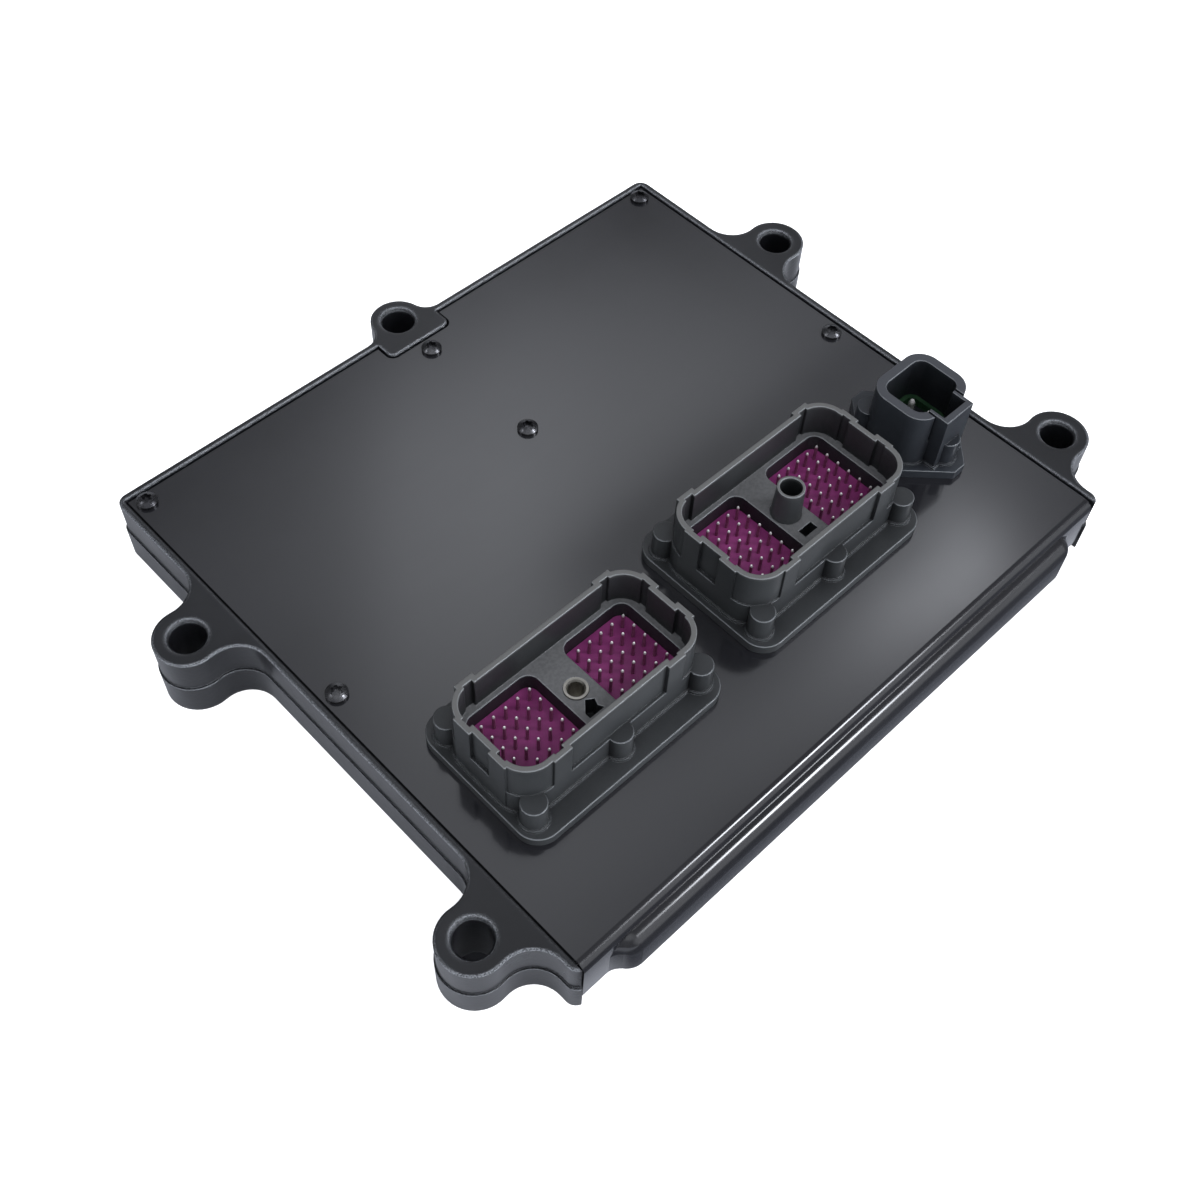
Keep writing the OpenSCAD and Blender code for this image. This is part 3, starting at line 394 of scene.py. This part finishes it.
slots = {s["node"]: s["material_slot"] for s in frame["record"]["subparts"]}
for name, obj in nodes.items():
    obj.data.materials.clear()
    obj.data.materials.append(looks[slots[name]])


# Smooth shading inside each face of the solids

for obj in nodes.values():
    for p in obj.data.polygons:
        p.use_smooth = True


# Camera at the photograph's angle

cam_data = bpy.data.cameras.new("camera")
cam_data.sensor_width = SENSOR_MM
cam_data.lens = LENS_MM
cam_data.clip_start, cam_data.clip_end = 0.01, 50.0
cam = bpy.data.objects.new("camera", cam_data)
scene.collection.objects.link(cam)
turn = Euler([math.radians(angle) for angle in CAMERA_TURN])
cam.matrix_world = Matrix.LocRotScale(CAMERA_AT, turn, None)
scene.camera = cam


# Floor, with a shade under each ear hole

floor_mesh = bpy.data.meshes.new("floor")
corners = [(a * FLOOR_HALF, b * FLOOR_HALF, FLOOR_Z) for a, b in ((-1, -1), (1, -1), (1, 1), (-1, 1))]
floor_mesh.from_pydata(corners, [], [(0, 1, 2, 3)])
floor = bpy.data.objects.new("floor", floor_mesh)
scene.collection.objects.link(floor)

mounts = {m["name"]: m for m in frame["record"]["mounts"]}
sides = mounts["side_ear_holes"]
mid_x, mid_y = sides["pos_m"][:2]
half_x = sides["dims"]["spacing_x_mm"] / 2000.0
half_y = sides["dims"]["spacing_y_mm"] / 2000.0
hole_r = sides["dims"]["hole_r_mm"] / 1000.0
ear_holes = [(mid_x + a * half_x, mid_y + b * half_y) for a in (-1, 1) for b in (-1, 1)]
ear_holes.append(mounts["back_ear_hole"]["pos_m"][:2])

pale, t, bsdf, co = material("pale_floor")
bright = 1.0
for x, y in ear_holes:
    away = t.add("ShaderNodeVectorMath", operation="DISTANCE")
    t.link(co, away.inputs[0])
    away.inputs[1].default_value = (x, y, FLOOR_Z)
    outside = t.math("SUBTRACT", away.outputs["Value"], hole_r)
    bright = t.product(bright, t.ramp(outside, *SHADE_OUT))
underside = t.add("ShaderNodeNewGeometry").outputs["Backfacing"]
bright = t.math("MAXIMUM", bright, underside)
tone = t.mix(t.noise(co, 40.0, 3.0), rgb(0.86, 0.86, 0.865), rgb(0.89, 0.89, 0.89))
tone = t.mix(bright, rgb(0.05, 0.052, 0.06), tone)
# Painted reflection: glossy faces see a greyer floor, and a dark one in front of the unit for the front
# fold
place = t.split(co)
front = t.product(t.ramp(place["Y"], *DARK_Y), t.ramp(place["X"], *DARK_X))
mirrored = t.mix(front, rgb(0.5, 0.51, 0.54), rgb(0.06, 0.063, 0.074))
path = t.add("ShaderNodeLightPath").outputs
t.put(bsdf.inputs["Base Color"], t.mix(path["Is Glossy Ray"], tone, mirrored))
bsdf.inputs["Roughness"].default_value = 0.9
t.put(bsdf.inputs["Emission Color"], rgb(1.0, 1.0, 1.0))
glow = t.math("MULTIPLY", bright, 0.7)
t.put(bsdf.inputs["Emission Strength"], t.product(path["Is Camera Ray"], glow))
floor.data.materials.append(pale)


# Studio light, all of it in the world

world = bpy.data.worlds.new("studio")
scene.world = world
world.use_nodes = True
world.node_tree.nodes.clear()
w = Tree(world.node_tree)
out = w.add("ShaderNodeOutputWorld")
back = w.add("ShaderNodeBackground")
w.link(back.outputs[0], out.inputs["Surface"])
direction = w.add("ShaderNodeTexCoord").outputs["Generated"]

# A direction is also known by its spot, the point of the lid where the camera sees it mirrored
ways = w.split(direction)
rise = w.math("DIVIDE", w.math("MAXIMUM", ways["Z"], LEAST_RISE), CAMERA_AT.z - LID_TOP)
spot_x = w.math("ADD", w.math("DIVIDE", ways["X"], rise), CAMERA_AT.x)
spot_y = w.math("ADD", w.math("DIVIDE", ways["Y"], rise), CAMERA_AT.y)
spot = w.add("ShaderNodeCombineXYZ")
w.link(spot_x, spot.inputs[0])
w.link(spot_y, spot.inputs[1])


def lobe(axis, inner, outer, strength):
    """A soft round patch of light towards an axis, between two half angles in degrees."""
    near = math.cos(math.radians(inner))
    edge = math.cos(math.radians(outer))
    return w.ramp(w.dot(direction, Vector(axis).normalized()), edge, near, 0.0, strength)


def panel(middle, size, angle, strength):
    """A soft oval panel of the ceiling, given by where and how large the lid mirrors it."""
    local = w.add("ShaderNodeMapping", vector_type="TEXTURE")
    w.link(spot.outputs[0], local.inputs["Vector"])
    local.inputs["Location"].default_value = (*middle, 0.0)
    local.inputs["Rotation"].default_value = (0.0, 0.0, math.radians(angle))
    local.inputs["Scale"].default_value = (*size, 1.0)
    reach = w.dot(local.outputs[0], local.outputs[0])
    return w.math("MULTIPLY", w.math("POWER", math.exp(-0.5), reach), strength)


# The ceiling that the lid mirrors: two glints and a strip at the front, a streak and two wide bands
ceiling = w.total(
    AMBIENT,
    panel((0.0755, -0.096), (0.0088, 0.0161), -36, 2.8),
    panel((0.0452, -0.098), (0.0088, 0.0203), -93.5, 3.1),
    panel((-0.01, -0.1), (0.0564, 0.013), -5.5, 0.8),
    panel((-0.0637, 0.0352), (0.0088, 0.078), -40.5, 0.33),
    panel((-0.059, -0.0062), (0.03, 0.11), -39.5, 0.8),
    panel((0.0537, 0.01), (0.0533, 0.11), 70, 0.9),
)

# A dark beam across the ceiling, and the darker far ends of the ceiling
beam = w.product(w.ramp(spot_y, *BEAM_BACK), w.ramp(spot_y, *BEAM_FRONT),
                 w.ramp(spot_x, *BEAM_LEFT, 0.0, BEAM_DARK))
far = w.total(w.ramp(spot_y, *FAR_BACK, 0.0, FAR_BACK_DARK),
              w.ramp(spot_x, *FAR_RIGHT, 0.0, FAR_RIGHT_DARK))
ceiling = w.product(ceiling, w.left(beam), w.left(far))

# Two lamps that light up edges, and four wide lights that fill in softly
lamps = w.total(
    lobe((0.42, -0.5, 0.7), 3, 8, 20.0),
    lobe((-0.5, 0.39, 0.77), 3, 10, 4.0),
)
fill = w.total(
    lobe((0.3, -0.85, 0.45), 12, 40, 3.6),
    lobe((-0.25, -0.25, 0.93), 8, 30, 3.1),
    lobe((-0.8, -0.25, 0.5), 8, 40, 0.6),
    lobe((0.58, 0.77, 0.26), 8, 24, 3.0),
)

rays = w.add("ShaderNodeLightPath").outputs
seen = rays["Is Camera Ray"]
soft_share = w.left(w.math("MULTIPLY", rays["Is Glossy Ray"], GLOSSY_LOSS))
light = w.total(ceiling, lamps, w.product(soft_share, fill))
w.put(back.inputs["Color"], w.mix(seen, rgb(0.955, 0.985, 1.05), rgb(1.0, 1.0, 1.0)))
w.put(back.inputs["Strength"], w.total(seen, w.product(w.left(seen), light)))

scene.view_settings.view_transform = "Standard"
